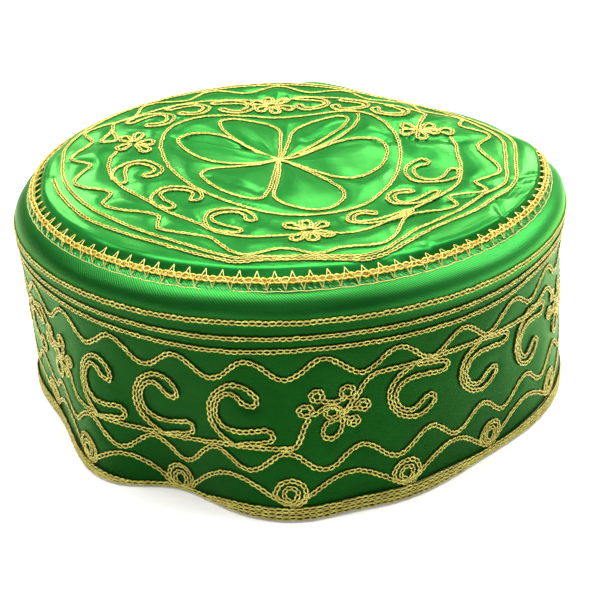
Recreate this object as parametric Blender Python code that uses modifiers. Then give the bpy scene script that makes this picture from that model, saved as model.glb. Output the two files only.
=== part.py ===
"""Round embroidered satin cap: a soft crown panel sewn to a tall side band, with a couched cord
round the top seam and a thick embroidered edging round the rim. It stands on its rim at z = 0."""

import math
from collections import namedtuple

import bmesh
import bpy

MM = 0.001

# Driving sizes, in millimetres
RIM_RADIUS = 93.6
WAIST_RADIUS = 91.2
SEAM_RADIUS = 85.4
SHOULDER_OVERHANG = 8.6
SHOULDER_RADIUS = SEAM_RADIUS + SHOULDER_OVERHANG
WAIST_HEIGHT = 57.0
SHOULDER_HEIGHT = 70.0
SEAM_HEIGHT = 76.4
CROWN_RISE = 5.4
BAND_WALL = 2.0
CROWN_WALL = 1.6
EDGING_HEIGHT = 5.0
EDGING_THICKNESS = 1.0
CORD_DIAMETER = 1.8
SEWN_GAP = 0.3

# The slump of the top fades out from the seam to the middle with this power of the radius
SLUMP_FADE = 4

# Resolution of the cages, which one level of subdivision doubles
CAGE_SIDES = 36
SUBDIVISION = 1
CORD_POINTS = CAGE_SIDES * 2 ** SUBDIVISION

# A subdivided ring shrinks towards its centre, so its cage stands out by this much
CAGE_GROWTH = 8.0 / (6.0 + 2.0 * math.cos(math.tau / CAGE_SIDES))

# Side band, from the rim up to the top seam: outer radius and height of each section, the shares
# of the rim's and of the waist's dents that reach it, and the share of the top's slump it follows
Section = namedtuple("Section", "height radius rim_dent waist_dent slump")


def between(low, high, share):
    return low + (high - low) * share


BAND_SECTIONS = (
    Section(0.0, RIM_RADIUS, 1.0, 0.0, 0.0),
    Section(0.8 * EDGING_HEIGHT, RIM_RADIUS, 1.0, 0.0, 0.0),
    Section(1.6 * EDGING_HEIGHT, RIM_RADIUS, 1.0, 0.0, 0.0),
    Section(0.40 * WAIST_HEIGHT, between(RIM_RADIUS, WAIST_RADIUS, 0.30), 0.62, 0.30, 0.15),
    Section(0.70 * WAIST_HEIGHT, between(RIM_RADIUS, WAIST_RADIUS, 0.75), 0.30, 0.75, 0.45),
    Section(WAIST_HEIGHT, WAIST_RADIUS, 0.10, 1.0, 0.80),
    Section(
        between(WAIST_HEIGHT, SHOULDER_HEIGHT, 0.55),
        between(WAIST_RADIUS, SHOULDER_RADIUS, 0.60),
        0.0, 0.45, 0.95,
    ),
    Section(SHOULDER_HEIGHT, SHOULDER_RADIUS, 0.0, 0.0, 1.0),
    Section(
        between(SHOULDER_HEIGHT, SEAM_HEIGHT, 0.70),
        between(SHOULDER_RADIUS, SEAM_RADIUS, 0.30),
        0.0, 0.0, 1.0,
    ),
    Section(SEAM_HEIGHT, SEAM_RADIUS, 0.0, 0.0, 1.0),
)

# Dents of the soft wall: angle from +X in degrees, depth at the rim and at the waist as shares of
# the rim's radius, and half widths in degrees on the clockwise and the anticlockwise side. A
# depth below zero is a bulge
Dent = namedtuple("Dent", "angle rim waist before after")
WALL_DENTS = (
    Dent(-133.0, -0.016, 0.0, 7.0, 7.0),
    Dent(-119.0, 0.120, 0.0, 6.0, 14.0),
    Dent(-93.0, -0.030, 0.0, 8.0, 8.0),
    Dent(-158.0, 0.092, 0.0, 17.0, 15.0),
    Dent(-81.0, 0.030, 0.0, 6.0, 5.0),
    Dent(-48.0, 0.068, 0.0, 20.0, 20.0),
    Dent(178.0, -0.026, -0.026, 20.0, 26.0),
    Dent(-8.0, -0.004, -0.008, 14.0, 18.0),
    Dent(38.0, 0.020, 0.010, 20.0, 20.0),
    Dent(98.0, 0.004, -0.010, 22.0, 22.0),
    Dent(148.0, 0.018, 0.0, 15.0, 15.0),
)

# Where the soft top sinks below its seam's height: depth as a share of the crown's rise
Slump = namedtuple("Slump", "angle depth width")
TOP_SLUMPS = (
    Slump(56.0, 1.26, 20.0),
    Slump(30.0, 0.88, 18.0),
    Slump(12.0, 0.18, 10.0),
)

# Crown panel, from the seam in to its middle: share of the seam's radius and of the crown's rise
CrownRing = namedtuple("CrownRing", "radius rise")
CROWN_RINGS = (
    CrownRing(1.000, 0.00),
    CrownRing(0.985, 0.52),
    CrownRing(0.950, 0.98),
    CrownRing(0.880, 1.04),
    CrownRing(0.740, 0.92),
    CrownRing(0.550, 0.76),
    CrownRing(0.330, 0.66),
    CrownRing(0.110, 0.64),
)

# Folds of the crown: place of the middle as an angle and a share of the seam's radius, direction
# of the fold's line, half length and half width as shares of the radius, and rise as a share
Fold = namedtuple("Fold", "angle radius direction length width rise")
CROWN_FOLDS = (
    Fold(165.0, 0.56, 75.0, 0.42, 0.26, 0.45),
    Fold(130.0, 0.56, 40.0, 0.30, 0.22, 0.55),
    Fold(-138.0, 0.54, -48.0, 0.32, 0.22, 0.60),
    Fold(46.0, 0.54, 136.0, 0.30, 0.22, 1.00),
    Fold(-24.0, 0.86, -28.0, 0.22, 0.07, -0.30),
    Fold(-12.0, 0.66, -10.0, 0.34, 0.14, -0.34),
    Fold(-66.0, 0.52, 24.0, 0.34, 0.20, -0.42),
)


def angle_between(angle, middle):
    """Signed difference of two angles in degrees, from -180 to 180."""
    return (angle - middle + 180.0) % 360.0 - 180.0


def wall_dent(angle, rim_share=1.0, waist_share=0.0):
    """How far the wall is pushed in at this angle, where these shares of the dents reach."""
    depth = 0.0
    for dent in WALL_DENTS:
        off = angle_between(angle, dent.angle)
        width = dent.before if off < 0.0 else dent.after
        share = dent.rim * rim_share + dent.waist * waist_share
        depth += share * RIM_RADIUS * math.exp(-((off / width) ** 2))
    return depth


def top_slump(angle):
    """How far the top seam sinks at this angle."""
    drop = 0.0
    for slump in TOP_SLUMPS:
        off = angle_between(angle, slump.angle)
        drop += slump.depth * CROWN_RISE * math.exp(-((off / slump.width) ** 2))
    return drop


def fold_rise(x, y):
    """Rise of the crown's folds at a place given as shares of the seam's radius."""
    rise = 0.0
    for fold in CROWN_FOLDS:
        at = math.radians(fold.angle)
        line = math.radians(fold.direction)
        dx = x - fold.radius * math.cos(at)
        dy = y - fold.radius * math.sin(at)
        along = (dx * math.cos(line) + dy * math.sin(line)) / fold.length
        across = (dy * math.cos(line) - dx * math.sin(line)) / fold.width
        rise += fold.rise * CROWN_RISE * math.exp(-(along ** 2) - across ** 2)
    return rise


def cage_angles():
    return [360.0 * i / CAGE_SIDES for i in range(CAGE_SIDES)]


def polar(radius, angle, height):
    """A point in metres from a radius and height in millimetres and an angle in degrees."""
    at = math.radians(angle)
    return (radius * math.cos(at) * MM, radius * math.sin(at) * MM, height * MM)


def loft(name, rings, capped=False):
    """An open surface through closed rings of points, with a last point that caps it if asked."""
    mesh = bpy.data.meshes.new(name)
    shell = bmesh.new()
    rows = [[shell.verts.new(point) for point in ring] for ring in rings]
    for lower, upper in zip(rows, rows[1:]):
        for i in range(CAGE_SIDES):
            j = (i + 1) % CAGE_SIDES
            shell.faces.new((lower[i], lower[j], upper[j], upper[i]))
    if capped:
        shell.faces.new(rows[-1])
        bmesh.ops.poke(shell, faces=[shell.faces[:][-1]])
    shell.to_mesh(mesh)
    shell.free()
    return bpy.data.objects.new(name, mesh)


def soften(shell, wall):
    """Rounds a cage with subdivision and gives it its wall on the inner side."""
    smooth = shell.modifiers.new("soft form", "SUBSURF")
    smooth.levels = SUBDIVISION
    smooth.render_levels = SUBDIVISION
    thick = shell.modifiers.new("wall", "SOLIDIFY")
    thick.thickness = wall * MM
    thick.offset = -1.0
    thick.use_even_offset = True
    shell.data.shade_smooth()


def band_ring(section):
    ring = []
    for angle in cage_angles():
        radius = section.radius - wall_dent(angle, section.rim_dent, section.waist_dent)
        height = section.height - section.slump * top_slump(angle)
        ring.append(polar(radius * CAGE_GROWTH, angle, height))
    return ring


def side_band():
    band = loft("side_band", [band_ring(section) for section in BAND_SECTIONS])
    soften(band, BAND_WALL)
    return band


def crown_ring(row):
    """The crown's edge lies a sewn gap inside the band's, and its middle leaves the slump."""
    ring = []
    radius = row.radius * (SEAM_RADIUS - SEWN_GAP)
    for angle in cage_angles():
        at = math.radians(angle)
        x = row.radius * math.cos(at)
        y = row.radius * math.sin(at)
        edge = 1.0 if row.rise > 0.0 else 0.0
        rise = row.rise * CROWN_RISE + edge * fold_rise(x, y)
        height = SEAM_HEIGHT + rise - top_slump(angle) * row.radius ** SLUMP_FADE
        ring.append(polar(radius * CAGE_GROWTH, angle, height))
    return ring


def crown_panel():
    crown = loft("crown_panel", [crown_ring(row) for row in CROWN_RINGS], capped=True)
    soften(crown, CROWN_WALL)
    return crown


def edging_ring(height):
    ring = []
    for angle in cage_angles():
        radius = RIM_RADIUS - wall_dent(angle) + SEWN_GAP + EDGING_THICKNESS
        ring.append(polar(radius * CAGE_GROWTH, angle, height))
    return ring


def rim_edging():
    edging = loft("rim_edging", [edging_ring(0.0), edging_ring(EDGING_HEIGHT)])
    soften(edging, EDGING_THICKNESS)
    return edging


def seam_cord():
    """A closed cord that lies in the groove between the band's shoulder and the crown's flank."""
    line = bpy.data.curves.new("seam_cord", "CURVE")
    line.dimensions = "3D"
    line.bevel_depth = 0.5 * CORD_DIAMETER * MM
    line.bevel_resolution = 1
    spline = line.splines.new("POLY")
    spline.points.add(CORD_POINTS - 1)
    spline.use_cyclic_u = True
    radius = SEAM_RADIUS + 0.4 * CORD_DIAMETER
    lift = 0.5 * CORD_DIAMETER + 1.5 * SEWN_GAP
    for i, point in enumerate(spline.points):
        angle = 360.0 * i / CORD_POINTS
        height = SEAM_HEIGHT - top_slump(angle) + lift
        point.co = (*polar(radius, angle, height), 1.0)
    return bpy.data.objects.new("seam_cord", line)


def finish(name, colour, roughness, metallic=0.0):
    material = bpy.data.materials.new(name)
    material.use_nodes = True
    shader = material.node_tree.nodes["Principled BSDF"]
    shader.inputs["Base Color"].default_value = (*colour, 1.0)
    shader.inputs["Roughness"].default_value = roughness
    shader.inputs["Metallic"].default_value = metallic
    return material


def main():
    for old in list(bpy.data.objects):
        bpy.data.objects.remove(old)
    cap = bpy.data.collections.new("embroidered cap")
    bpy.context.scene.collection.children.link(cap)
    pieces = (
        (side_band(), finish("band satin", (0.01, 0.17, 0.03), 0.4)),
        (crown_panel(), finish("crown satin", (0.03, 0.42, 0.07), 0.4)),
        (rim_edging(), finish("edging thread", (0.72, 0.55, 0.10), 0.45, 0.5)),
        (seam_cord(), finish("cord thread", (0.80, 0.58, 0.08), 0.45, 0.5)),
    )
    for piece, material in pieces:
        piece.data.materials.append(material)
        cap.objects.link(piece)


main()
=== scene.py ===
"""Looks of the round embroidered satin cap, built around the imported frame.

Green satin is relaid over the band and the crown, pulled in along every line of embroidery, and
the embroidery is stitched link by link along charts that are drawn in millimetres on the cloth."""

import math
from collections import namedtuple

import bpy
import numpy as np
from mathutils import Matrix, Vector
from mathutils.bvhtree import BVHTree
from mathutils.kdtree import KDTree


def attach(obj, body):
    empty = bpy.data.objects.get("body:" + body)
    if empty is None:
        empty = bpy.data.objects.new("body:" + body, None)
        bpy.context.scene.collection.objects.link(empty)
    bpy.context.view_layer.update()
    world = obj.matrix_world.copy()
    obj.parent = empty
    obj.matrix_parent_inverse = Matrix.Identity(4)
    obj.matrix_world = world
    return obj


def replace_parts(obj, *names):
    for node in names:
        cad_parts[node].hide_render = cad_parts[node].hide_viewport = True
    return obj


MM = 0.001
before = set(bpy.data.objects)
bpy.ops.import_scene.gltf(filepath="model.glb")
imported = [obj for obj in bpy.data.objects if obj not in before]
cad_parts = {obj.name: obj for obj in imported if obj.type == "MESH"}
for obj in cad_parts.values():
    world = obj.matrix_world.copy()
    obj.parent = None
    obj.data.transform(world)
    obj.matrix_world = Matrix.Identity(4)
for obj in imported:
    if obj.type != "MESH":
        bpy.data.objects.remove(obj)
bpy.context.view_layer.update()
random = np.random.default_rng(7)

# Camera: fitted to the photograph's view of the cap, in millimetres and degrees
CAMERA_TARGET = (1.93, 0.0, 26.88)
CAMERA_DISTANCE = 500.0
CAMERA_ELEVATION = 27.47
CAMERA_ROLL = 2.374
SENSOR_WIDTH = 36.0
LENS_LENGTH = 83.96

# How finely the satin is laid: columns round the cap, rows along the cloth, closer ones at the
# crown's edge, and how many rows its swelling takes to fade in from an edge
CAD_COLUMNS = 72
COLUMNS = 720
BAND_ROWS = 91
CROWN_ROW_STEP = 1.35
CROWN_EDGE = 6.0
CROWN_EDGE_ROWS = 14
BAND_FADE_ROWS = (6.0, 4.0)
CROWN_FADE_ROWS = 5.0
BAND_LINING_STEP = 9
CROWN_LINING_STEP = 6

# Angles round the cap in degrees: of the frame's columns, of the satin's, and for drawn lines
CAD_ANGLES = np.arange(CAD_COLUMNS) * 360.0 / CAD_COLUMNS
SATIN_ANGLES = np.arange(COLUMNS) * 360.0 / COLUMNS
ROUND = np.arange(0.0, 360.0, 0.5)
FINE_ROUND = np.arange(0.0, 360.0, 0.25)

# Radius and height inside the band's round wall, at which rays from outside look for its outer
# side, and how high above the crown and how far inside its edge others look for its top
BAND_MIDDLE = (64.0, 48.0)
BAND_RAYS = 90
RAY_LENGTH = 90.0
CROWN_RAY_HEIGHT = 200.0
INSIDE_EDGE = 0.08

# The cloth in millimetres: its walls, its size round and along, the furrows along its stitches,
# how high and how far off it swells between them, and the size and height of its lumps
BAND_WALL = 1.9
CROWN_WALL = 1.5
BAND_CLOTH = (578.0, 84.0)
CROWN_CLOTH = (530.0, 85.0)
FURROW_DEPTH = 0.30
FURROW_WIDTH = 1.5
BAND_PUFF = (0.22, 5.0)
CROWN_PUFF = (0.8, 6.0)
BAND_LUMPS = (24.0, 0.14)
CROWN_LUMPS = (20.0, 0.26)
LUMPS_FROM_STITCH = 2.5
LUMP_WAVES = 9

# Ribs of the satin: millimetres apart, and their lean in degrees
RIB_SPACING = 0.68
RIB_LEAN = -42.0

# Chain stitch, in millimetres: link length, half width to the thread's middle, thread radius
# and how deep it sinks into the cloth. Lines that cross others are lifted over them
Stitch = namedtuple("Stitch", "pitch half_width thread sink")
CHAIN = Stitch(1.95, 0.63, 0.29, 0.14)
CROWN_CHAIN = Stitch(1.85, 0.48, 0.24, 0.14)
KNOT_CHAIN = Stitch(1.6, 0.58, 0.27, 0.10)
HEM_CHAIN = Stitch(2.1, 0.58, 0.28, 0.02)
SEAM_CHAIN = Stitch(2.1, 0.78, 0.28, 0.0)
THREAD_SIDES = 5
SCROLL_LIFT = 0.12
STRAND_LIFT = 0.16
KNOT_LIFT = 0.1

# How uneven the stitches are: their turn in radians, share of width, height and shift
UNEVEN_TURN = 0.05
UNEVEN_WIDTH = 0.07
UNEVEN_HEIGHT = 0.03
UNEVEN_SHIFT = 0.04

# One chain link as (share of the pitch, share of the half width, height in thread radii): it
# comes up between the strands of the link before, widens, and closes round the next link's foot
LINK_SIDE = ((0.02, 0.20, -0.8), (0.26, 0.62, 1.00), (0.62, 1.00, 1.20), (1.00, 0.84, 0.90))
LINK_HEAD = (1.22, 0.0, 0.50)

# Chart of the band: angles in degrees from +X, heights in millimetres above the rim in front
FRONT_ANGLE = -90.0
MM_PER_DEGREE = math.radians(1.0) * 92.0
Wave = namedtuple("Wave", "count crest_angle middle swing")
UPPER_WAVE = Wave(25, -84.9, 51.7, 3.2)
LOWER_WAVE = Wave(25, -92.4, 20.3, 3.4)
ROSETTE_ANGLES = (
    -137.8, -116.6, -91.9, -68.8, -45.6, -22.2, 2.2, 26.7, 51.1, 75.6, 100.0, 124.4, 148.9, 173.3, 197.8,
)
ROSETTE_HEIGHT = 9.7
ROSETTE_RADII = (4.6, 2.35)
ROSETTE_ENDS = (-100.0, 620.0)
ROSETTE_EVEN = 5.2
LOOP_TOP = 14.6
LOOP_BOTTOM = 5.7
LOOP_FULLNESS = 0.7
HEM_ROWS = (0.95, 2.55, 4.15)
HEM_TOP = 4.8
HEM_WALL = 0.55
HEM_TUCKED_IN = 0.13
HEM_PROFILE = (
    (0.0, -0.3), (0.0, HEM_WALL - 0.2), (0.4, HEM_WALL), (3.6, HEM_WALL), (4.5, 0.2), (4.6, -0.3),
)
CHART_FOOT = 0.3
FLOOR_CLEARANCE = 1.2

# The rings under the shoulder, and how far the upper lines wander from level by degrees. Each
# ring has its height and its share in that drift
RINGS = ((58.4, 1.0), (62.7, 0.4), (68.0, 0.0))
UPPER_DRIFT = (
    (0, 1.5), (90, 0.5), (180, 0.5), (219, 0.9), (237, 0.0), (255, -0.9), (272, 0.0), (314, 0.0),
    (325, 1.8), (340, 2.0),
)

# The frieze: flowers at these angles, with scrolls that stand on a vine to the right of every
# first flower and hang from a vine to the right of every second one
FLOWER_ANGLES = (-148.6, -83.8, -19.0, 38.9, 96.7, 154.6)
FLOWER_HEIGHT = 36.6
Loop = namedtuple("Loop", "x y width height")
FLOWER_LOOPS = (
    Loop(-7.8, 1.1, 2.2, 1.8),
    Loop(-4.3, 5.8, 2.0, 1.9),
    Loop(5.0, 5.9, 2.1, 2.0),
    Loop(9.9, 0.7, 1.9, 1.7),
    Loop(6.7, -4.3, 1.8, 1.6),
    Loop(0.2, -0.2, 2.3, 1.9),
)
FLOWER_STRANDS = (
    ((-6.4, -0.3), (-4.6, 0.0), (-3.2, 1.1), (-1.6, 2.2), (0.8, 2.0), (2.8, 0.5)),
    ((-3.2, 4.3), (-1.6, 3.5), (0.6, 3.1), (2.6, 3.4), (4.2, 4.4)),
    ((8.4, 0.0), (6.6, 0.2), (4.6, 0.4), (2.8, -0.8)),
    ((5.5, -3.1), (4.2, -2.6), (2.9, -1.6)),
    ((3.0, -2.2), (3.2, -4.6), (2.4, -7.4), (0.4, -9.2), (-1.9, -9.0), (-3.1, -7.2), (-2.5, -4.9),
     (-1.0, -3.2), (1.4, -2.9), (3.4, -1.4), (5.2, 0.8), (6.9, 3.4)),
)
FriezeScroll = namedtuple("FriezeScroll", "left width height")
STANDING_SCROLLS = (
    FriezeScroll(11.3, 0.84, 1.0),
    FriezeScroll(24.8, 0.98, 1.0),
    FriezeScroll(41.4, 0.97, 1.0),
)
HANGING_SCROLLS = (
    FriezeScroll(11.3, 1.0, 0.88),
    FriezeScroll(27.6, 1.05, 0.87),
    FriezeScroll(44.6, 0.88, 0.95),
)
STANDING_VINE_HEIGHT = 25.2
HANGING_VINE_HEIGHT = 47.6

# Vines of the two kinds of section: degrees from the section's left flower, height
STANDING_VINE = (
    (4.3, 35.9), (6.2, 32.3), (7.4, 27.4), (9.5, 25.6), (14.7, 25.3), (35.0, 25.2), (57.0, 25.2),
)
STANDING_VINE_END = ((55.0, 25.2), (57.6, 25.3), (58.6, 27.6), (59.3, 31.0), (60.4, 35.0))
HANGING_VINE = (
    (4.4, 39.2), (5.6, 42.6), (7.2, 46.0), (9.0, 47.5), (14.0, 47.8), (31.8, 47.6), (38.8, 46.8),
    (46.8, 45.9), (50.4, 45.6), (54.5, 47.6), (57.2, 48.6), (59.6, 46.8), (62.0, 43.0),
)

# Where the rim is tucked under, so that the chart slips down there: degrees, millimetres
TUCKS = (
    (0, 0.0), (200, 0.0), (222, 1.0), (231, 2.8), (238, 4.8), (244, 5.6), (250, 3.4), (255, 1.2),
    (262, 0.0), (298, 0.0), (312, 1.8), (326, 1.2), (340, 0.0),
)
TUCK_REACH = 62.0
DEEPEST_HEM_TUCK = 4.2

# Outline of a scroll in millimetres: up its back, over the top, round the hook, down the inside
# and along the foot to the vine
SCROLL = (
    (8.2, -0.1), (4.7, 2.1), (1.8, 4.8), (0.3, 8.2), (0.0, 11.8), (1.6, 16.2), (4.8, 19.4), (8.4, 20.8),
    (11.6, 20.4), (14.4, 18.6), (16.0, 16.2), (15.4, 14.2), (13.2, 13.8), (11.0, 15.4), (8.6, 17.6),
    (6.2, 17.6), (3.3, 15.2), (2.0, 12.0), (2.4, 9.0), (4.0, 6.6), (7.6, 5.0), (12.5, 5.2), (16.0, 5.8),
    (18.6, 6.2), (20.6, 5.0), (20.6, 3.0), (17.6, 1.9), (13.0, 1.2), (9.6, 0.2),
)

# Chart of the crown, in millimetres from its middle. Lines that run round it are polar: angle
# in degrees, radius
CROWN_MIDDLE = (-3.0, -2.0)
INNER_CIRCLE = (
    (9, 41.9), (30, 45.2), (55, 48.0), (75, 43.2), (90, 41.4), (105, 43.6), (128, 48.0), (143, 48.1),
    (159, 43.9), (177, 39.0), (202, 36.0), (224, 36.6), (240, 37.9), (254, 39.5), (270, 41.8), (289, 42.9),
    (307, 43.5), (317, 42.3), (339, 40.3), (352, 40.2),
)
CROWN_VINE = (
    (2, 60.3), (8, 61.2), (14.5, 61.4), (25, 63.5), (36, 65.8), (50, 63.5), (68, 63.5), (80, 62.0),
    (92, 58.5), (105, 61.5), (120, 65.0), (138, 67.6), (148, 70.5), (160, 62.0), (170, 56.6),
    (176, 57.5), (192, 57.0), (206, 55.3), (219, 54.2), (231, 55.5),
    (241, 56.5), (246, 58.0), (251, 60.5), (260, 61.6), (268, 60.2), (276, 59.4), (284, 60.6), (290, 62.9),
    (296, 62.4), (303, 60.4), (310, 59.1), (320, 59.5), (335, 61.8), (350, 61.1),
)
INNER_RING = (
    (0, 76.4), (10, 78.0), (25, 76.8), (50, 77.0), (80, 77.0), (110, 77.5), (140, 78.0), (166, 76.8),
    (177, 73.8), (191, 72.0), (209, 70.1), (222, 69.1), (235, 69.6), (245, 71.0), (253, 73.8), (260, 76.4),
    (266, 75.6), (275, 76.2), (282, 78.0), (288, 79.8), (293, 78.8), (298, 76.0), (303, 73.3), (310, 72.4),
    (320, 73.0), (330, 73.2), (335, 75.2), (340, 76.8), (353, 75.8),
)
RING_SPACING = (
    (0, 3.5), (60, 3.2), (120, 2.8), (170, 3.0), (205, 3.8), (218, 4.8), (230, 3.9), (240, 3.3), (250, 3.0),
    (258, 1.9), (270, 1.7), (290, 1.7), (296, 2.3), (303, 3.4), (312, 3.2), (322, 4.1), (331, 4.6),
    (339, 3.2), (350, 3.2),
)

# The wave inside the rings, as its crests and dips in turn
CROWN_WAVE = (
    (-179, 63.6), (-167, 69.2), (-154, 60.2), (-148, 65.8), (-130, 58.9), (-124, 65.8), (-111, 64.4),
    (-98, 74.6), (-90, 70.3), (-81, 75.4), (-76, 73.2), (-67.5, 75.6), (-50, 62.0), (-39, 70.2), (-33, 63.8),
    (-26, 73.0), (-19.5, 67.2), (-12, 74.0), (4.5, 68.0), (14, 75.6), (23, 70.0), (30, 76.0), (40, 68.2),
    (50, 75.0), (60, 68.0), (70, 75.2), (80, 68.2), (90, 75.2), (100, 68.4), (110, 75.6), (120, 68.8),
    (130, 76.0), (141, 68.4), (155, 76.0), (163.5, 68.4), (175, 71.6), (181, 63.6),
)

# Small flowers of the crown: where, the loops round them and a stem if there is one
CrownFlower = namedtuple("CrownFlower", "x y loops stem")
CROWN_FLOWERS = (
    CrownFlower(
        6.0, -57.4, ((-6.3, 3.9), (-1.3, 6.2), (3.8, 4.8), (5.2, -4.6), (0.6, -7.6), (-4.4, -7.2)), (),
    ),
    CrownFlower(
        -53.4, 13.9, ((-3.7, 4.9), (1.0, 6.8), (5.2, -0.1), (4.2, -6.2), (-4.0, -3.4)),
        ((-9.5, 21.0), (-8.9, 13.9), (-11.8, 4.0), (-9.6, 3.0), (-6.8, 3.8), (-8.7, 13.0)),
    ),
    CrownFlower(
        -5.6, 51.4, ((6.4, -3.4), (1.3, -6.0), (-4.0, -4.4), (-5.8, 2.8), (-1.2, 6.0), (4.6, 5.2)), (),
    ),
    CrownFlower(
        46.3, 18.2, ((-4.4, 2.9), (-5.0, -1.6), (0.4, -4.8), (4.0, 4.2), (5.0, -0.6)),
        ((4.0, 18.4), (0.2, 4.0), (0.0, 0.0), (6.5, 0.4), (9.0, 3.2), (11.6, 1.4), (10.4, -3.4),
         (7.6, -1.0)),
    ),
)
CROWN_LOOP = (1.7, 2.3)
LOOP_OPENING = 130.0
LOOP_NECK = (0.25, 0.35)

# Outline of a scroll of the crown in millimetres: along the vine from its left edge, inward.
# Each has its own width at the foot and at the head, with a change between these depths
SCROLL_NECK = (4.0, 9.0)
CROWN_SCROLL = (
    (12.5, -0.2), (6.5, 1.2), (3.4, 3.4), (0.8, 7.3), (0.0, 11.1), (2.0, 14.6), (5.3, 16.8), (8.8, 17.0),
    (12.6, 14.9), (15.0, 11.6), (14.0, 9.9), (12.4, 10.4), (11.4, 12.4), (9.2, 14.4), (6.8, 14.6),
    (4.6, 13.2), (2.4, 9.9),
    (3.4, 6.6), (7.9, 4.8), (12.4, 4.3), (15.4, 3.0), (14.8, 0.9), (11.0, 0.9),
)
CrownScroll = namedtuple("CrownScroll", "left radius width foot height")
CROWN_SCROLLS = (
    CrownScroll(-117.0, 60.5, 1.0, 1.0, 1.06),
    CrownScroll(-146.0, 55.0, 1.0, 1.0, 1.0),
    CrownScroll(-180.0, 57.0, 1.05, 1.3, 1.0),
    CrownScroll(-66.6, 61.5, 0.72, 1.35, 0.86),
    CrownScroll(-45.0, 60.0, 0.76, 1.0, 0.90),
    CrownScroll(-23.0, 61.2, 1.25, 0.92, 1.09),
    CrownScroll(37.0, 64.6, 0.9, 1.0, 0.85),
    CrownScroll(53.5, 62.6, 0.9, 1.0, 0.85),
    CrownScroll(70.0, 62.6, 0.8, 1.0, 0.85),
    CrownScroll(100.0, 61.5, 0.9, 1.0, 0.85),
    CrownScroll(117.0, 65.4, 0.9, 1.0, 0.85),
    CrownScroll(133.0, 67.4, 0.9, 1.0, 0.95),
)
FLOWER_MIDDLE = (-3.2, 2.0)
CROWN_PETALS = (
    ((2.5, 3.6), (9.0, 8.2), (17.0, 13.0), (25.0, 14.6), (31.6, 12.4), (34.0, 6.0), (32.6, -2.0),
     (28.4, -9.4), (23.0, -14.6), (17.0, -14.6), (10.0, -9.8), (3.0, -3.2)),
    ((3.0, -4.2), (8.5, -11.0), (13.8, -18.0), (17.2, -24.6), (17.4, -30.4), (14.2, -36.4), (8.8, -39.4),
     (3.0, -38.0), (-2.6, -34.2), (-5.0, -30.0), (-4.2, -20.0), (-3.2, -9.0)),
    ((-4.0, -2.6), (-5.2, -14.0), (-7.4, -28.0), (-9.8, -32.6), (-16.2, -31.6), (-22.6, -26.4),
     (-27.4, -18.8), (-29.0, -12.2), (-26.4, -7.6), (-18.6, -4.8), (-10.0, -2.0)),
    ((-9.0, 6.4), (-14.6, 13.4), (-20.6, 19.6), (-27.6, 22.2), (-34.4, 21.0), (-38.2, 17.2),
     (-36.8, 11.2), (-32.6, 5.0), (-26.6, 0.0), (-18.0, -1.8), (-10.0, -0.6)),
    ((-2.8, 8.0), (-2.6, 18.0), (-3.0, 28.0), (-6.6, 32.8), (-13.0, 35.4), (-19.6, 36.2), (-23.8, 33.6),
     (-23.4, 27.4), (-18.4, 18.6), (-11.4, 10.0)),
    ((-1.6, 7.0), (0.0, 16.0), (2.0, 26.0), (6.0, 31.0), (12.4, 33.8), (18.4, 34.8), (21.6, 31.6),
     (20.4, 26.0), (15.4, 19.6), (8.6, 12.4), (2.4, 6.4)),
)
OUTER_PETAL_LINE = ((25.6, 35.0), (25.4, 29.4), (22.6, 22.4), (17.4, 16.0), (10.6, 10.6), (4.0, 6.0))

# Top seam: couched cord, zigzag over it and the ladder below it, in millimetres
CORD_RADIUS = 0.74
CORD_LEAN = 48.0
CORD_CHAIN_LIFT = CORD_RADIUS - 0.12
ZIGZAGS = 104
ZIGZAG_THREAD = 0.17
ZIGZAG_SLANT = 0.62
ZIGZAG_ON_CROWN = 2.1
ZIGZAG_ON_BAND = 2.5
LADDER_STEPS = 260
LADDER_THREAD = 0.22
LADDER_TOP = 1.6
LADDER_BOTTOM = 2.9
LADDER_LEANS = (0.2, 0.7)
EDGE_LINE_DEPTH = 3.0
EDGE_LINE_THREAD = 0.17
SHOULDER_ROWS = 4
SHOULDER_END = (0.6 * CORD_RADIUS, -0.5 * CORD_RADIUS)

# Painted sheen on the band's shoulder, where the satin turns up toward the lights: how light it is
# painted up the cloth, round the cap, and where that begins, each as a share of the cloth's size and a level
SHOULDER_PAINTED_SHEEN = ((0.81, 0.0), (0.85, 0.16), (0.93, 0.24), (1.0, 1.0))
SHOULDER_SIDE_SHEEN = ((0.0, 0.85), (0.10, 0.0), (0.79, 0.0), (0.85, 0.45), (0.91, 0.85))
SHOULDER_SIDE_SHEEN_START = ((0.80, 0.0), (0.83, 1.0))

# Creases of the crown, as a line of chart points with a width and a depth in millimetres
Crease = namedtuple("Crease", "line width depth")
CROWN_CREASES = (
    Crease(((-37.7, 19.0), (-27.7, 16.7), (-15.6, 11.7)), 2.2, 0.9),
    Crease(((-35.6, 14.2), (-22.2, 9.9), (-7.7, 4.3)), 2.8, -0.8),
    Crease(((-25.5, -14.2), (-18.8, -20.0), (-10.8, -26.1)), 2.2, 0.8),
    Crease(((6.4, 17.7), (13.4, 21.5), (19.7, 26.1)), 2.2, 0.9),
    Crease(((31.8, 12.2), (39.6, 12.4), (50.2, 11.5), (59.5, 10.3)), 3.0, 0.7),
    Crease(((38.1, -68.4), (40.4, -72.8)), 1.6, 0.55),
    Crease(((29.0, -78.1), (33.1, -77.0)), 1.0, 0.3),
    Crease(((27.4, -53.2), (37.2, -47.6), (47.5, -40.5), (57.6, -36.9)), 3.6, 0.55),
    Crease(((47.3, -38.8), (55.2, -38.1), (60.1, -31.0), (67.2, -27.7)), 3.0, 0.5),
    Crease(((64.2, -42.6), (64.5, -49.7), (65.4, -53.1)), 1.5, 0.65),
    Crease(((73.9, -23.9), (80.8, -18.7)), 1.2, 0.4),
    Crease(((72.8, -31.3), (79.5, -25.2)), 1.2, 0.4),
    Crease(((68.2, -38.6), (78.5, -29.2)), 2.5, 0.6),
)

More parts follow.
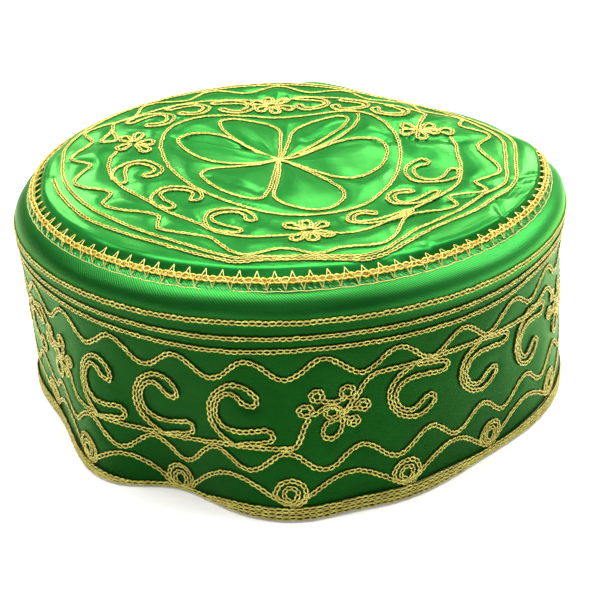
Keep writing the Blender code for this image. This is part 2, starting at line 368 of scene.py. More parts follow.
# The crown's edge swells, and then rolls over the seam or dips into a groove beside it: height,
# place from the seam, width
EDGE_SWELL = (0.5, 2.0, 1.6)
EDGE_ROLL = (1.1, 0.9, 1.0)
SEAM_GROOVE = (0.5, 0.9, 0.9)

# How much of that roll there is round the cap, by degrees. The rest is groove
ROLLED_OVER = (
    (0, 1.0), (20, 0.9), (45, 0.6), (90, 0.5), (140, 0.3), (180, 0.0), (220, 0.0), (262, 0.0),
    (275, 0.12), (290, 0.5), (305, 0.8), (320, 1.0), (340, 1.0),
)

# Degrees of the ends of the crown's outer ring, and of the vine's two parts between flowers
OUTER_RING_ENDS = (187.0, 510.0)
CROWN_VINE_PARTS = ((170.0, 374.5), (36.0, 148.5))

# Soft lights: name, place and width in metres, and watts
LIGHTS = (
    ("overhead", (0.0, 0.12, 0.95), 0.6, 10.5),
    ("back left", (-0.38, 1.00, 0.56), 0.25, 2.5),
    ("back", (0.14, 0.98, 0.90), 0.3, 3.2),
    ("back right", (0.42, 0.95, 0.55), 0.25, 3.6),
    ("right side", (0.50, 0.0, 0.88), 0.5, 4.6),
    ("right", (0.78, 0.28, 0.62), 0.35, 3.2),
    ("left side", (-0.50, -0.05, 0.88), 0.5, 6.0),
    ("front fill", (-0.10, -0.90, 0.60), 0.5, 0.8),
)
LIT_POINT = (0.0, 0.0, 0.05)
WORLD_LIGHT = 0.13
FLOOR_REACH = 3.0
FLOOR_DROP = 0.0003
FLOOR_GLOW = 0.22


def wrap(values):
    """The values of a closed line with its first one repeated at the end."""
    return np.concatenate([values, values[:1]])


def between(t, start, end, low, high):
    """From low to high as t goes from start to end."""
    return (end - t) / (end - start) * low + (t - start) / (end - start) * high


def through_points(points, closed=False, step=0.4):
    """A line that passes smoothly through given points, with a point about every step."""
    points = np.asarray(points, float)
    if closed:
        control = np.concatenate([points[-1:], points, points[:2]])
    else:
        before = 2 * points[:1] - points[1:2]
        after = 2 * points[-1:] - points[-2:-1]
        control = np.concatenate([before, points, after])
    line = []
    for a, b, c, d in zip(control, control[1:], control[2:], control[3:]):
        gaps = [max(np.linalg.norm(q - p), 1e-6) ** 0.5 for p, q in ((a, b), (b, c), (c, d))]
        first, second, third, last = np.cumsum([0.0] + gaps)
        count = max(2, int(np.linalg.norm(c - b) / step))
        t = np.linspace(second, third, count, endpoint=False)[:, None]
        ab = between(t, first, second, a, b)
        bc = between(t, second, third, b, c)
        cd = between(t, third, last, c, d)
        abc = between(t, first, third, ab, bc)
        bcd = between(t, second, last, bc, cd)
        line.append(between(t, second, third, abc, bcd))
    line.append(points[:1] if closed else points[-1:])
    return np.concatenate(line)


def round_values(table, angles):
    """Values at these angles from a table of (angle, value) that goes round and is smooth."""
    table = np.asarray(table, float)
    before, after = table.copy(), table.copy()
    before[:, 0] -= 360.0
    after[:, 0] += 360.0
    line = through_points(np.concatenate([before, table, after]), step=1.0)
    return np.interp(np.mod(angles, 360.0), line[:, 0], line[:, 1])


def unit(vectors):
    """The vectors, each a unit long."""
    return vectors / np.maximum(np.linalg.norm(vectors, axis=-1, keepdims=True), 1e-9)


def bell(away, width):
    """A smooth bump that is 1 at no distance and almost 0 at two widths."""
    return np.exp(-((away / width) ** 2))


def lengths_along(points):
    """How far along a line each of its points lies."""
    return np.concatenate([[0.0], np.cumsum(np.linalg.norm(np.diff(points, axis=0), axis=1))])


class Cloth:
    """A smooth round surface kept as a grid of points: columns round the cap, rows along it."""

    def __init__(self, grid):
        self.grid = grid
        around = np.roll(grid, -1, 0) - np.roll(grid, 1, 0)
        along = np.gradient(grid, axis=1)
        self.normal = unit(np.cross(around, along))

    def pick(self, angles, rows):
        """Points and normals at these angles in degrees and these rows, which may be fractions."""
        columns = len(self.grid)
        column = np.mod(angles, 360.0) / 360.0 * columns
        low = np.floor(column).astype(int)
        across = (column - low)[..., None]
        rows = np.clip(rows, 0, self.grid.shape[1] - 1.001)
        row = np.floor(rows).astype(int)
        along = (rows - row)[..., None]
        left, right = low % columns, (low + 1) % columns

        def blend(values):
            start = values[left, row] * (1 - across) + values[right, row] * across
            end = values[left, row + 1] * (1 - across) + values[right, row + 1] * across
            return start * (1 - along) + end * along

        return blend(self.grid), unit(blend(self.normal))


def node_mesh(name):
    """A frame node's points in millimetres, with a tree to cast rays at."""
    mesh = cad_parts[name].data
    points = np.array([vertex.co for vertex in mesh.vertices]) / MM
    faces = [tuple(face.vertices) for face in mesh.polygons]
    return points, BVHTree.FromPolygons([Vector(p) for p in points], faces)


def more_columns(values):
    """Values at evenly spaced angles, filled in smoothly to the satin's columns."""
    waves = np.fft.rfft(values, axis=0)
    filled = np.zeros((COLUMNS // 2 + 1,) + waves.shape[1:], complex)
    filled[: len(waves)] = waves
    return np.fft.irfft(filled, COLUMNS, axis=0) * (COLUMNS / len(values))


def soften_rows(values, reach):
    """Values smoothed along the rows, with both ends kept."""
    pad = 2 * reach
    kernel = bell(np.arange(-pad, pad + 1), reach)
    kernel /= kernel.sum()
    before = 2 * values[:, :1] - values[:, pad:0:-1]
    after = 2 * values[:, -1:] - values[:, -2:-pad - 2:-1]
    padded = np.concatenate([before, values, after], axis=1)
    return np.array([np.convolve(line, kernel, mode="valid") for line in padded])


def polar_grid(radii, heights):
    """A grid of points from radii and heights, whose columns go round from +X."""
    angles = np.radians(SATIN_ANGLES)[:, None]
    return np.stack([radii * np.cos(angles), radii * np.sin(angles), heights], axis=2)


def near_angle(points, angle, reach):
    """The points within this many degrees of an angle."""
    at = np.degrees(np.arctan2(points[:, 1], points[:, 0]))
    return points[np.abs((at - angle + 180.0) % 360.0 - 180.0) < reach]


def cord_middle(angles):
    """The middle of the couched cord at these angles, from the frame's cord."""
    points = node_mesh("seam_cord")[0]
    middles = []
    for angle in CAD_ANGLES:
        near = near_angle(points, angle, 1.0)
        radii, heights = np.hypot(near[:, 0], near[:, 1]), near[:, 2]
        middles.append(((radii.min() + radii.max()) / 2.0, (heights.min() + heights.max()) / 2.0))
    ring = wrap(more_columns(np.array(middles)))
    at = np.mod(angles, 360.0) / 360.0 * COLUMNS
    every = np.arange(COLUMNS + 1)
    return np.interp(at, every, ring[:, 0]), np.interp(at, every, ring[:, 1])


def band_profile(points, tree, angle):
    """The outer side of the band at one angle, from rim to seam, as radius and height."""
    near = near_angle(points, angle, 1.2)
    rim = np.hypot(near[:, 0], near[:, 1])[near[:, 2] < 0.1].max()
    top = near[np.argmax(near[:, 2])]
    seam = (math.hypot(top[0], top[1]), top[2])
    radius, height = BAND_MIDDLE
    start = math.atan2(-height, rim - radius)
    end = math.atan2(seam[1] - height, seam[0] - radius)
    outward = Vector((math.cos(math.radians(angle)), math.sin(math.radians(angle)), 0.0))
    middle = outward * radius + Vector((0.0, 0.0, height))
    profile = [(rim, 0.0)]
    for lean in np.linspace(start, end, BAND_RAYS)[1:-1]:
        ray = outward * math.cos(lean) + Vector((0.0, 0.0, math.sin(lean)))
        hit = tree.ray_cast(middle + ray * RAY_LENGTH, -ray)[0]
        profile.append((math.hypot(hit.x, hit.y), hit.z))
    profile.append(seam)
    return np.array(profile)


def band_cloth():
    """The band's outer side as smooth cloth, with rows evenly spaced from the rim to the seam."""
    points, tree = node_mesh("side_band")
    radii, heights = [], []
    for angle in CAD_ANGLES:
        profile = band_profile(points, tree, angle)
        length = lengths_along(profile)
        even = np.linspace(0.0, length[-1], BAND_ROWS)
        radii.append(np.interp(even, length, profile[:, 0]))
        heights.append(np.interp(even, length, profile[:, 1]))
    radii = more_columns(soften_rows(np.array(radii), 2))
    heights = more_columns(soften_rows(np.array(heights), 2))
    cord_radii, cord_heights = cord_middle(SATIN_ANGLES)
    end_radii, end_heights = cord_radii + SHOULDER_END[0], cord_heights + SHOULDER_END[1]
    for row in range(SHOULDER_ROWS):
        share = (row + 1) / SHOULDER_ROWS
        at = BAND_ROWS - SHOULDER_ROWS + row
        start = at - row - 1
        radii[:, at] = radii[:, start] * (1 - share) + end_radii * share
        heights[:, at] = heights[:, start] * (1 - share) + end_heights * share
    return Cloth(polar_grid(radii, heights))


def crown_cloth():
    """The crown's top side as smooth cloth, with rows from its middle out to the seam."""
    points, tree = node_mesh("crown_panel")
    edge = np.hypot(points[:, 0], points[:, 1]).max()
    inner = np.arange(0.0, edge - CROWN_EDGE, CROWN_ROW_STEP)
    outer = edge - CROWN_EDGE * np.linspace(1.0, 0.0, CROWN_EDGE_ROWS) ** 1.4
    radii = np.concatenate([inner, outer])
    heights = []
    for angle in np.radians(CAD_ANGLES):
        line = []
        for radius in np.minimum(radii, edge - INSIDE_EDGE):
            above = Vector((radius * math.cos(angle), radius * math.sin(angle), CROWN_RAY_HEIGHT))
            line.append(tree.ray_cast(above, Vector((0.0, 0.0, -1.0)))[0].z)
        heights.append(line)
    heights = np.array(heights)
    heights[:, : len(inner)] = soften_rows(heights[:, : len(inner)], 2)
    heights[:, 0] = heights[:, 0].mean()
    heights = more_columns(heights)
    rolled = round_values(ROLLED_OVER, SATIN_ANGLES)[:, None]
    for (height, place, width), share in ((EDGE_SWELL, 1.0), (EDGE_ROLL, rolled)):
        heights += share * height * bell(radii[-1] - radii - place, width)
    cloth = Cloth(polar_grid(np.tile(radii, (COLUMNS, 1)), heights))
    cloth.normal = -cloth.normal
    cloth.normal[:, 0] = unit(cloth.normal[:, 1].mean(0))
    cloth.radii = radii
    return cloth


band = band_cloth()
crown = crown_cloth()

# Heights of the band's rows in front, from which its chart counts
front_heights = band.grid[int((FRONT_ANGLE % 360.0) / 360.0 * COLUMNS), :, 2]


def tucked(angles):
    """How far the rim is tucked under at these angles, in millimetres."""
    return np.maximum(round_values(TUCKS, angles), 0.0)


def on_band(angles, heights):
    """Points and normals on the band from its chart's angles and heights."""
    angles = np.asarray(angles, float)
    tuck = tucked(angles)
    slip = tuck * np.clip(1.0 - (heights - HEM_TOP) / TUCK_REACH, 0.0, 1.0) ** 1.5
    hem_left = 1.0 - np.minimum(tuck, DEEPEST_HEM_TUCK) / HEM_TOP
    slipped = np.where(heights > HEM_TOP, heights - slip, heights * hem_left)
    rows = np.interp(np.maximum(slipped, CHART_FOOT), front_heights, np.arange(BAND_ROWS))
    return band.pick(angles, rows)


def on_crown(x, y):
    """Points and normals on the crown from its chart's x and y."""
    rows = np.interp(np.hypot(x, y), crown.radii, np.arange(len(crown.radii)))
    return crown.pick(np.degrees(np.arctan2(y, x)), rows)


def row_under_seam(depth):
    """The band's row this many millimetres of cloth below the seam."""
    return BAND_ROWS - 1 - depth * BAND_ROWS / BAND_CLOTH[1]


# Points of the stitches that pull the cloth in
stitched = []


def even_line(points, normals, pitch, closed):
    """Points and normals a stitch apart along a line on the cloth."""
    if closed:
        points, normals = wrap(points), wrap(normals)
    length = lengths_along(points)
    count = max(2, int(round(length[-1] / pitch)))
    at = np.linspace(0.0, length[-1], count + 1)
    place = np.stack([np.interp(at, length, points[:, i]) for i in range(3)], axis=1)
    facing = np.stack([np.interp(at, length, normals[:, i]) for i in range(3)], axis=1)
    return place, unit(facing)


def quads(*corners):
    """Faces with these four corners, each an array of point numbers."""
    return np.stack(np.broadcast_arrays(*corners), axis=-1).reshape(-1, 4)


def tube_faces(count, sides, closed=True):
    """Faces of a tube of this many rings, each with this many points."""
    near = np.arange(count if closed else count - 1)[:, None] * sides
    far = (near + sides) % (count * sides)
    around = np.arange(sides)
    after = (around + 1) % sides
    return quads(near + around, near + after, far + after, far + around)


def tube(path, radius, closed, sides=THREAD_SIDES, up=None):
    """A round thread along a path: its points and its faces, each face a row of four points."""
    count = len(path)
    if closed:
        along = unit(np.roll(path, -1, 0) - np.roll(path, 1, 0))
    else:
        along = unit(np.gradient(path, axis=0))
    if up is None:
        up = np.tile((0.0, 0.0, 1.0), (count, 1))
    side = unit(np.cross(along, up))
    top = np.cross(side, along)
    turn = np.arange(sides) * math.tau / sides
    ring = np.cos(turn)[None, :, None] * side[:, None] + np.sin(turn)[None, :, None] * top[:, None]
    points = path[:, None] + ring * np.reshape(radius, (-1, 1, 1))
    return points.reshape(-1, 3), tube_faces(count, sides, closed)


def link_shape(stitch):
    """One closed chain link a pitch long, lying along +X on the plane z = 0."""
    there = np.array(LINK_SIDE)
    back = there[::-1] * (1.0, -1.0, 1.0)
    path = np.concatenate([there, [LINK_HEAD], back])
    path *= (stitch.pitch, stitch.half_width, stitch.thread)
    return tube(path, stitch.thread, closed=True)


def chain(points, normals, stitch, lift=0.0):
    """Chain stitch along a line of points a pitch apart, with the small unevenness of real work."""
    shape, faces = link_shape(stitch)
    count = len(points) - 1
    along = points[1:] - points[:-1]
    length = np.linalg.norm(along, axis=1, keepdims=True)
    along = along / np.maximum(length, 1e-9)
    across = unit(np.cross(normals[:-1], along))
    along = unit(along + across * random.normal(0.0, UNEVEN_TURN, (count, 1)))
    across = unit(np.cross(normals[:-1], along))
    up = np.cross(along, across)
    width = 1.0 + random.normal(0.0, UNEVEN_WIDTH, (count, 1, 1))
    height = (lift - stitch.sink + random.normal(0.0, UNEVEN_HEIGHT, (count, 1))) * up
    shift = random.normal(0.0, UNEVEN_SHIFT, (count, 1)) * across
    local = np.broadcast_to(shape, (count,) + shape.shape)
    placed = (
        (points[:-1] + height + shift)[:, None]
        + local[:, :, :1] * along[:, None] * (length / stitch.pitch)[:, None]
        + local[:, :, 1:2] * across[:, None] * width
        + local[:, :, 2:] * up[:, None]
    )
    every = faces[None] + (np.arange(count) * len(shape))[:, None, None]
    tone = np.repeat(random.uniform(0.0, 1.0, count), len(shape))
    # How high each point of a link stands, which sets its painted shade
    rise = np.clip((shape[:, 2] / stitch.thread + 0.6) / 2.6, 0.0, 1.0)
    return placed.reshape(-1, 3), every.reshape(-1, 4), tone, np.tile(rise, count)


class Sewing:
    """Gathers threads that become one piece."""

    def __init__(self):
        self.points, self.faces, self.tones, self.rises, self.size = [], [], [], [], 0

    def add(self, points, faces, tone=None, rise=0.7):
        """Take in a mesh, with how light its thread is and how far it rises from the cloth, which sets how
        much painted shade it gets.
        """
        self.points.append(points)
        self.faces.append(faces + self.size)
        self.tones.append(np.full(len(points), random.uniform(0.0, 1.0) if tone is None else tone))
        self.rises.append(np.full(len(points), rise))
        self.size += len(points)

    def chain_line(self, points, normals, closed=False, stitch=CHAIN, lift=0.0, pucker=True):
        """Sew chain stitch along a line, which pulls the cloth in if it is to pucker."""
        place, facing = even_line(points, normals, stitch.pitch, closed)
        place[:, 2] = np.maximum(place[:, 2], FLOOR_CLEARANCE)
        if pucker:
            stitched.append(place)
        self.add(*chain(place, facing, stitch, lift))

    def piece(self, name, material):
        """Everything sewn so far as one piece."""
        points = np.concatenate(self.points)
        made = new_piece(name, points, np.concatenate(self.faces), material)
        for label, values in (("tone", self.tones), ("rise", self.rises)):
            layer = made.data.attributes.new(label, "FLOAT", "POINT")
            layer.data.foreach_set("value", np.concatenate(values).astype(np.float32))
        return made


def new_piece(name, points, faces, material):
    """A smooth mesh piece that rides on the cap and takes its finish from this slot."""
    mesh = bpy.data.meshes.new(name)
    mesh.from_pydata(points * MM, [], faces)
    mesh.materials.append(material)
    mesh.shade_smooth()
    made = bpy.data.objects.new(name, mesh)
    bpy.context.scene.collection.objects.link(made)
    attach(made, "root")
    return made


class Finish:
    """A new material, with short ways to make and join its nodes."""

    def __init__(self, name):
        self.material = bpy.data.materials.new(name)
        self.material.use_nodes = True
        self.tree = self.material.node_tree

    def fill(self, node, inputs):
        """Give a node its inputs: a socket is linked, and any other value is set."""
        for key, value in inputs.items():
            if isinstance(value, bpy.types.NodeSocket):
                self.tree.links.new(value, node.inputs[key])
            else:
                node.inputs[key].default_value = value

    def surface(self, inputs):
        """Give the main shader its inputs and return the material."""
        self.fill(self.tree.nodes["Principled BSDF"], inputs)
        return self.material

    def node(self, kind, output, inputs, **settings):
        """An output of a new node of this kind."""
        made = self.tree.nodes.new("ShaderNode" + kind)
        for key, value in settings.items():
            setattr(made, key, value)
        self.fill(made, inputs)
        return made.outputs[output]

    def maths(self, operation, *values):
        """What this operation makes of two or three values."""
        return self.node("Math", "Value", dict(enumerate(values)), operation=operation)

    def ramp(self, value, stops):
        """A colour that follows a value between stops, each a value and its colour."""
        colour = self.node("ValToRGB", "Color", {"Fac": value})
        elements = colour.node.color_ramp.elements
        for _ in stops[2:]:
            elements.new(1.0)
        for element, (position, shade) in zip(elements, stops):
            element.position = position
            element.color = (*shade, 1.0)
        return colour

    def levels(self, value, stops):
        """A level that follows a value between stops, each a value and its level."""
        return self.ramp(value, [(position, (level,) * 3) for position, level in stops])

    def mixed(self, share, low, high):
        """A colour between two, by a share that another node gives."""
        return self.ramp(share, ((0.0, low), (1.0, high)))

    def noise(self, place, scale, detail=2.0):
        """Smooth noise at this place."""
        return self.node("TexNoise", "Fac", {"Vector": place, "Scale": scale, "Detail": detail})

    def bumped(self, height, distance, strength, under=None):
        """The normal of a surface with these bumps, over those of another normal if given."""
        inputs = {"Height": height, "Distance": distance, "Strength": strength}
        if under is not None:
            inputs["Normal"] = under
        return self.node("Bump", "Normal", inputs)


def painted_shoulder_sheen(finish, place, ribs, colour, shoulder):
    """The cloth's colour with a painted sheen, lighter and ribbed where it turns over the shoulder to the
    seam.
    """
    around, along = (
        finish.maths("MULTIPLY", finish.node("SeparateXYZ", axis, {"Vector": place}), 1.0 / size)
        for axis, size in zip("XY", BAND_CLOTH)
    )
    ribbed = finish.maths("MULTIPLY_ADD", ribs, 0.9, 0.45)
    # Painted sheen on the right side of the shoulder, from about the top ring upward, where the right-hand
    # lights fall
    start = finish.levels(along, SHOULDER_SIDE_SHEEN_START)
    side = finish.maths("MULTIPLY", finish.levels(around, SHOULDER_SIDE_SHEEN), start)
    share = finish.maths("MULTIPLY_ADD", finish.levels(along, SHOULDER_PAINTED_SHEEN), ribbed, side)
    inputs = {"Factor": share, "A": colour, "B": (*shoulder, 1.0)}
    return finish.node("Mix", "Result", inputs, data_type="RGBA")


def satin(name, deep, bright, roughness=0.34, metallic=0.5, rib_depth=0.0, shoulder=None):
    """Satin whose sheen is the colour of the cloth, with slanted ribs, a faint unevenness and a painted
    sheen on the shoulder if its colour is given.
    """
    finish = Finish(name)
    place = finish.node("UVMap", "UV", {}, uv_map="cloth")
    lean = (0.0, 0.0, math.radians(RIB_LEAN))
    turned = finish.node("Mapping", "Vector", {"Vector": place, "Rotation": lean})
    fineness = math.tau / (20.0 * RIB_SPACING)
    inputs = {"Vector": turned, "Scale": fineness, "Distortion": 0.6, "Detail": 1.0}
    ribs = finish.node("TexWave", "Fac", inputs, wave_profile="SIN")
    uneven = finish.noise(place, 0.12, 3.0)
    drawn = finish.node("Mapping", "Vector", {"Vector": place, "Scale": (0.25, 3.0, 1.0)})
    streaks = finish.noise(drawn, 1.0)
    share = finish.node("Mix", "Result", {"Factor": 0.35, "A": uneven, "B": streaks})
    colour = finish.mixed(share, deep, bright)
    if shoulder is not None:
        colour = painted_shoulder_sheen(finish, place, ribs, colour, shoulder)
    fine = finish.bumped(ribs, rib_depth, 0.8)
    return finish.surface({
        "Base Color": colour,
        "Normal": finish.bumped(streaks, 0.00010, 0.35, fine),
        "Roughness": roughness,
        "Metallic": metallic,
        "Specular IOR Level": 0.20,
        "Specular Tint": (0.50, 1.0, 0.28, 1.0),
    })


def thread(name, painted_hollow_shade, deep, bright):
    """Rayon embroidery thread: each stitch has its own tone, and its low sides are painted in shade."""
    finish = Finish(name)
    tone = finish.node("Attribute", "Fac", {}, attribute_name="tone")
    rise = finish.node("Attribute", "Fac", {}, attribute_name="rise")
    plies = finish.noise(finish.node("TexCoord", "Object", {}), 2600.0)
    share = finish.node("Mix", "Result", {"Factor": 0.45, "A": tone, "B": plies})
    # Painted shade: the lower a point lies on the thread, the more of the dark hollow colour it gets
    lit = {
        "Factor": finish.maths("POWER", rise, 1.5),
        "A": (*painted_hollow_shade, 1.0),
        "B": finish.mixed(share, deep, bright),
    }
    return finish.surface({
        "Base Color": finish.node("Mix", "Result", lit, data_type="RGBA"),
        "Normal": finish.bumped(plies, 0.00012, 0.6),
        "Roughness": 0.27,
        "Metallic": 0.15,
        "Specular IOR Level": 1.0,
        "Specular Tint": (1.0, 1.0, 0.70, 1.0),
    })


# The band's satin is the same cloth as the crown's, painted darker as shade on its upright wall, with a
# painted sheen colour for its shoulder
band_satin = satin(
    "band satin", (0.0004, 0.026, 0.0015), (0.0018, 0.064, 0.005),
    metallic=0.6, rib_depth=0.00005, shoulder=(0.040, 0.34, 0.06),
)
crown_satin = satin("crown satin", (0.004, 0.108, 0.013), (0.024, 0.300, 0.044), roughness=0.30)
reverse = satin("satin reverse", (0.004, 0.090, 0.020), (0.010, 0.140, 0.035), 0.7, 0.0)
# The first colour of each thread is its painted shade, for the sides that lie low on the cloth
gold = thread("gold thread", (0.05, 0.022, 0.001), (0.42, 0.32, 0.020), (0.84, 0.80, 0.15))
cord_gold = thread("cord thread", (0.34, 0.13, 0.003), (0.66, 0.42, 0.02), (0.92, 0.80, 0.12))
pale_gold = thread("fine thread", (0.40, 0.30, 0.03), (0.70, 0.64, 0.12), (0.92, 0.90, 0.36))
green_thread = thread("green thread", (0.02, 0.16, 0.02), (0.10, 0.42, 0.10), (0.35, 0.78, 0.32))


def sewn(name, lines, stitch=CHAIN, **how):
    """A piece of gold chain stitch along these lines, each with its points and normals."""
    sewing = Sewing()
    for points, normals in lines:
        sewing.chain_line(points, normals, stitch=stitch, **how)
    return sewing.piece(name, gold)


def top_rings():
    """Three plain chain lines under the shoulder."""
    drift = round_values(UPPER_DRIFT, ROUND)
    sewn("top_rings", [on_band(ROUND, height + share * drift) for height, share in RINGS], closed=True)


def wave_line(name, wave, drift=0.0):
    """A chain line that waves round the band."""
    swing = wave.swing * np.cos(np.radians(wave.count * (FINE_ROUND - wave.crest_angle)))
    heights = wave.middle + swing + drift * round_values(UPPER_DRIFT, FINE_ROUND)
    sewn(name, [on_band(FINE_ROUND, heights)], closed=True)


def loop_wave():
    """The lowest wave, which dips under each rosette and rises full between them."""
    start = ROSETTE_ANGLES[0]
    angles = start + FINE_ROUND
    dips = ROSETTE_ANGLES + (start + 360.0,)
    phase = np.interp(angles, dips, np.arange(len(dips)) * math.tau)
    rise = (0.5 - 0.5 * np.cos(phase)) ** LOOP_FULLNESS
    heights = LOOP_BOTTOM + (LOOP_TOP - LOOP_BOTTOM) * rise
    sewn("loop_wave", [on_band(angles, heights)], closed=True)


def rosettes():
    """Two-turn spirals that stand on the loop wave's dips."""
    turn = np.radians(np.linspace(*ROSETTE_ENDS, 120))
    outer, inner = ROSETTE_RADII
    stops = (turn[0], turn[0] + ROSETTE_EVEN, turn[-1] - ROSETTE_EVEN, turn[-1])
    radius = np.interp(turn, stops, (outer, outer, inner, inner))
    across = radius * np.cos(turn) / MM_PER_DEGREE
    heights = ROSETTE_HEIGHT + radius * np.sin(turn)
    sewn("rosettes", [on_band(angle + across, heights) for angle in ROSETTE_ANGLES])


def frieze_flowers():
    """Looped flowers in the middle of the band."""
    turn = np.linspace(0.0, math.tau, 24, endpoint=False)
    lines = []
    for loop in FLOWER_LOOPS:
        lines.append((loop.x + loop.width * np.cos(turn), loop.y + loop.height * np.sin(turn), True))
    for strand in FLOWER_STRANDS:
        lines.append((*through_points(strand).T, False))
    sewing = Sewing()
    for angle in FLOWER_ANGLES:
        for x, y, closed in lines:
            points, normals = on_band(angle + x / MM_PER_DEGREE, FLOWER_HEIGHT + y)
            sewing.chain_line(points, normals, closed, lift=0.0 if closed else STRAND_LIFT)
    sewing.piece("frieze_flowers", gold)


def sections():
    """Each frieze section: its left flower's angle, its stretch, and if its scrolls hang."""
    ends = FLOWER_ANGLES[1:] + (FLOWER_ANGLES[0] + 360.0,)
    usual = FLOWER_ANGLES[1] - FLOWER_ANGLES[0]
    for i, (start, end) in enumerate(zip(FLOWER_ANGLES, ends)):
        yield start, (end - start) / usual, i % 2 == 1


def frieze_vines():
    """The lines that the scrolls stand on or hang from."""
    lines = []
    for start, stretch, hanging in sections():
        for table in ((HANGING_VINE,) if hanging else (STANDING_VINE, STANDING_VINE_END)):
            along, heights = through_points(np.array(table) * (MM_PER_DEGREE, 1.0)).T
            lines.append(on_band(start + stretch * along / MM_PER_DEGREE, heights))
    sewn("frieze_vines", lines)


def frieze_scrolls():
    """C-shaped scrolls, three to each section of the frieze."""
    along, rise = through_points(SCROLL).T
    lines = []
    for start, stretch, hanging in sections():
        for scroll in HANGING_SCROLLS if hanging else STANDING_SCROLLS:
            if hanging:
                heights = HANGING_VINE_HEIGHT - scroll.height * rise
            else:
                heights = STANDING_VINE_HEIGHT + scroll.height * rise
            angles = start + stretch * scroll.left + scroll.width * along / MM_PER_DEGREE
            lines.append(on_band(angles, heights))
    sewn("frieze_scrolls", lines, lift=SCROLL_LIFT)


def off_band(angles, height, out):
    """Points and normals round the cap this far off the band, less where the rim is tucked."""
    points, normals = on_band(angles, np.full_like(angles, height))
    return points + normals * (out - HEM_TUCKED_IN * tucked(angles))[:, None], normals


def hem_rows():
    """Close rows of chain stitch on a folded edging that they cover."""
    lines = [off_band(ROUND, height, HEM_WALL + 0.1) for height in HEM_ROWS]
    sewn("hem_rows", lines, HEM_CHAIN, closed=True, pucker=False)


def hem_edging():
    """The edging under the hem's rows, from the floor to where the tucked rim leaves it."""
    angles = np.arange(0.0, 360.0, 1.0)
    rows = []
    for height, out in HEM_PROFILE:
        points = off_band(angles, height, out)[0]
        points[:, 2] = 0.0 if height == 0.0 else np.maximum(points[:, 2], 0.05 + 0.1 * height)
        rows.append(points)
    points = np.stack(rows, axis=1).reshape(-1, 3)
    faces = tube_faces(len(angles), len(rows))[:, [0, 3, 2, 1]]
    sewing = Sewing()
    # The low rise paints the edging almost wholly in the thread's painted shade, as it lies under the rows
    sewing.add(points, faces, tone=0.2, rise=0.12)
    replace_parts(sewing.piece("hem_edging", gold), "rim_edging")


def polar_line(angles, radii):
    """Points and normals on the crown from angles and radii about its chart's middle."""
    at = np.radians(angles)
    return on_crown(CROWN_MIDDLE[0] + radii * np.cos(at), CROWN_MIDDLE[1] + radii * np.sin(at))


def crown_rings():
    """The circle round the big flower, the vine ring and the two rings near the seam."""
    sewing = Sewing()
    for table in (INNER_CIRCLE, INNER_RING):
        line = polar_line(ROUND, round_values(table, ROUND))
        sewing.chain_line(*line, closed=True, stitch=CROWN_CHAIN)
    for ends in CROWN_VINE_PARTS:
        angles = np.arange(*ends, 0.5)
        line = polar_line(angles, round_values(CROWN_VINE, angles))
        sewing.chain_line(*line, stitch=CROWN_CHAIN)
    angles = np.arange(*OUTER_RING_ENDS, 0.5)
    radii = round_values(INNER_RING, angles) + round_values(RING_SPACING, angles)
    sewing.chain_line(*polar_line(angles, radii), stitch=CROWN_CHAIN)
    sewing.piece("crown_rings", gold)


def crown_wave():
    """The wave inside the crown's two rings."""
    angles = CROWN_WAVE[0][0] + FINE_ROUND
    turns, reaches = np.array(CROWN_WAVE).T
    place = np.interp(angles, turns, np.arange(len(turns)))
    before = np.minimum(place.astype(int), len(turns) - 2)
    share = 0.5 - 0.5 * np.cos(math.pi * (place - before))
    radii = reaches[before] * (1 - share) + reaches[before + 1] * share
    sewn("crown_wave", [polar_line(angles, radii)], CROWN_CHAIN, closed=True)


def crown_flower():
    """The big six-petalled flower in the middle of the crown."""
    outlines = [(FLOWER_MIDDLE,) + petal + (FLOWER_MIDDLE,) for petal in CROWN_PETALS]
    outlines.append(OUTER_PETAL_LINE)
    sewn("crown_flower", [on_crown(*through_points(line).T) for line in outlines], CROWN_CHAIN)


def drawn_loop(x, y):
    """A loop that is drawn out of a flower's middle round this point."""
    toward = math.atan2(y, x)
    turn = toward + np.radians(np.linspace(-LOOP_OPENING, LOOP_OPENING, 9))
    width, height = CROWN_LOOP
    rim = np.stack([x + width * np.cos(turn), y + height * np.sin(turn)], axis=1)
    neck = LOOP_NECK[0] * np.array((x, y))
    side = LOOP_NECK[1] * np.array((-math.sin(toward), math.cos(toward)))
    return through_points(np.concatenate([[neck - side], rim, [neck + side]]), closed=True)


def crown_small_flowers():
    """Four flowers of drawn loops on the crown's vine."""
    sewing = Sewing()
    for flower in CROWN_FLOWERS:
        middle = (flower.x, flower.y)
        for x, y in flower.loops:
            sewing.chain_line(*on_crown(*(drawn_loop(x, y) + middle).T), True, KNOT_CHAIN, KNOT_LIFT)
        if flower.stem:
            sewing.chain_line(*on_crown(*(through_points(flower.stem) + middle).T), stitch=KNOT_CHAIN)
    sewing.piece("crown_small_flowers", gold)


def crown_scrolls():
    """Scrolls that stand on the crown's vine and point to its middle."""
    along, inward = through_points(CROWN_SCROLL).T
    lines = []
    for scroll in CROWN_SCROLLS:
        radii = scroll.radius - scroll.height * inward
        widths = along * np.interp(inward, SCROLL_NECK, (scroll.foot, scroll.width))
        lines.append(polar_line(scroll.left + np.degrees(widths / radii), radii))
    sewn("crown_scrolls", lines, CROWN_CHAIN, lift=SCROLL_LIFT)


